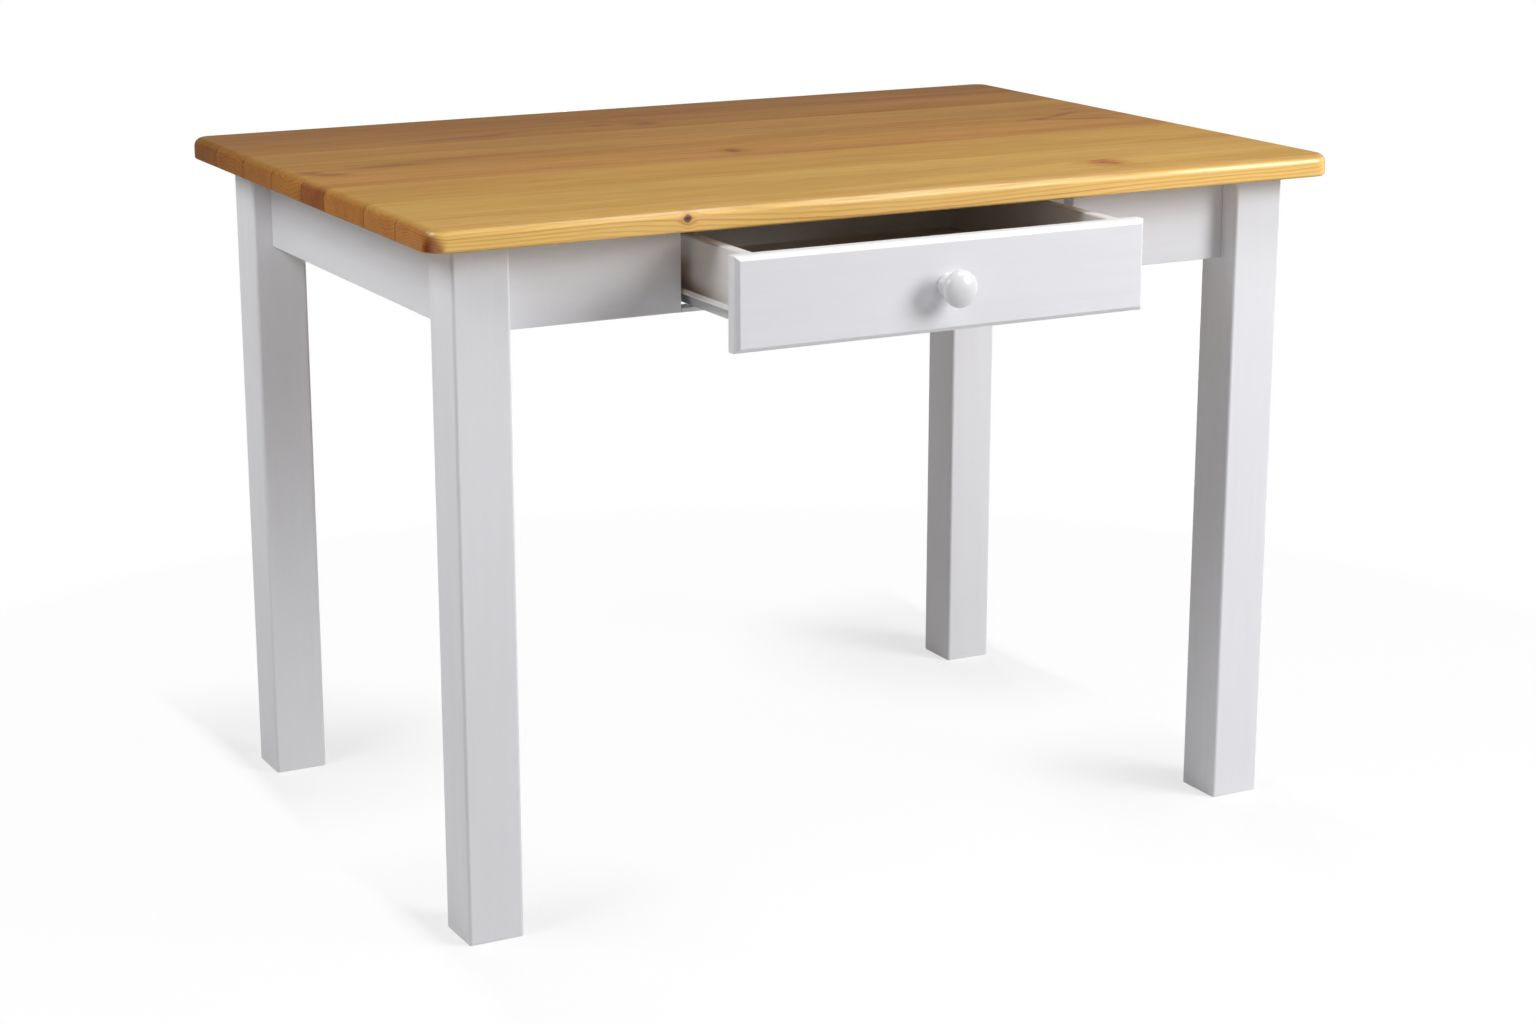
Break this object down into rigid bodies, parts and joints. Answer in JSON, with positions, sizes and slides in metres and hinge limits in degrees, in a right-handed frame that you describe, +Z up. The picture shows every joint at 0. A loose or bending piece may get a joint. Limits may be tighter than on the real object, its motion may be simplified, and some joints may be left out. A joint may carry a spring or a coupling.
{
  "type": "tavern table",
  "caption": "Pine tavern table: round-edged boarded top on white painted square legs and aprons, with a roller-runner drawer and ball knob in the front.",
  "frame": {"origin": "on the floor, under the middle of the whole box with the drawer open as pictured", "axes": "+X along the long side to the right as seen from the drawer, +Y to the back, +Z up"},
  "size_m": [1.1, 0.853, 0.77],
  "materials": {
    "lacquered_pine": "honey lacquer, gloss",
    "white_paint": "white satin paint",
    "drawer_box_paint": "white satin paint",
    "bare_pine": "planed, unfinished",
    "beech_dowel": "fluted, unfinished",
    "white_epoxy_steel": "white epoxy",
    "white_nylon": "moulded",
    "zinc_steel": "zinc plated"
  },
  "bodies": {
    "table_frame": {"apron_back": "white_paint", "apron_dowels": "beech_dowel", "apron_front_left": "white_paint", "apron_front_right": "white_paint", "apron_left": "white_paint", "apron_right": "white_paint", "cabinet_roller_rivets": "zinc_steel", "cabinet_runner_left": "white_epoxy_steel", "cabinet_runner_right": "white_epoxy_steel", "cabinet_runner_screws": "zinc_steel", "corner_block_back_left": "bare_pine", "corner_block_back_right": "bare_pine", "corner_block_front_left": "bare_pine", "corner_block_front_right": "bare_pine", "corner_block_screws": "zinc_steel", "corner_block_top_screws": "zinc_steel", "drawer_lower_rail": "white_paint", "drawer_upper_rail": "white_paint", "guide_rail_dowels": "beech_dowel", "guide_rail_left": "bare_pine", "guide_rail_right": "bare_pine", "hanger_bolt_nuts": "zinc_steel", "hanger_bolt_washers": "zinc_steel", "hanger_bolts": "zinc_steel", "leg_back_left": "white_paint", "leg_back_right": "white_paint", "leg_front_left": "white_paint", "leg_front_right": "white_paint", "top_board_1": "lacquered_pine", "top_board_2": "lacquered_pine", "top_board_3": "lacquered_pine", "top_board_4": "lacquered_pine", "top_board_5": "lacquered_pine", "top_board_6": "lacquered_pine", "top_board_7": "lacquered_pine", "top_board_8": "lacquered_pine", "top_bracket_screws": "zinc_steel", "top_brackets": "zinc_steel", "upper_rail_dowels": "beech_dowel", "upper_rail_screws": "zinc_steel"},
    "drawer": {"drawer_back": "drawer_box_paint", "drawer_back_dowels": "beech_dowel", "drawer_bottom": "drawer_box_paint", "drawer_bottom_screws": "zinc_steel", "drawer_front": "white_paint", "drawer_front_dowels": "beech_dowel", "drawer_knob": "white_paint", "drawer_roller_rivets": "zinc_steel", "drawer_runner_left": "white_epoxy_steel", "drawer_runner_right": "white_epoxy_steel", "drawer_runner_screws": "zinc_steel", "drawer_side_left": "drawer_box_paint", "drawer_side_right": "drawer_box_paint", "knob_screw": "zinc_steel"},
    "cabinet_roller_left": {"cabinet_roller_left": "white_nylon"},
    "cabinet_roller_right": {"cabinet_roller_right": "white_nylon"},
    "drawer_roller_left": {"drawer_roller_left": "white_nylon"},
    "drawer_roller_right": {"drawer_roller_right": "white_nylon"}
  },
  "joints": [
    {"name": "drawer_slide", "type": "slide", "parent": "table_frame", "child": "drawer", "axis": [0, -1, 0], "range_m": [-0.1145, 0.145]},
    {"name": "cabinet_roller_left_spin", "type": "hinge", "parent": "table_frame", "child": "cabinet_roller_left", "pos_m": [-0.2368, -0.2255, 0.661], "axis": [1, 0, 0], "range_deg": [-945, 1195]},
    {"name": "cabinet_roller_right_spin", "type": "hinge", "parent": "table_frame", "child": "cabinet_roller_right", "pos_m": [0.2368, -0.2255, 0.661], "axis": [1, 0, 0], "range_deg": [-945, 1195]},
    {"name": "drawer_roller_left_spin", "type": "hinge", "parent": "drawer", "child": "drawer_roller_left", "pos_m": [-0.2368, -0.0375, 0.659], "axis": [1, 0, 0], "range_deg": [-945, 1195]},
    {"name": "drawer_roller_right_spin", "type": "hinge", "parent": "drawer", "child": "drawer_roller_right", "pos_m": [0.2368, -0.0375, 0.659], "axis": [1, 0, 0], "range_deg": [-945, 1195]}
  ],
  "couplings": [
    {"joint": "cabinet_roller_left_spin", "follows": "drawer_slide", "rad_per_m": 142.86},
    {"joint": "cabinet_roller_right_spin", "follows": "drawer_slide", "rad_per_m": 142.86},
    {"joint": "drawer_roller_left_spin", "follows": "drawer_slide", "rad_per_m": 142.86},
    {"joint": "drawer_roller_right_spin", "follows": "drawer_slide", "rad_per_m": 142.86}
  ]
}
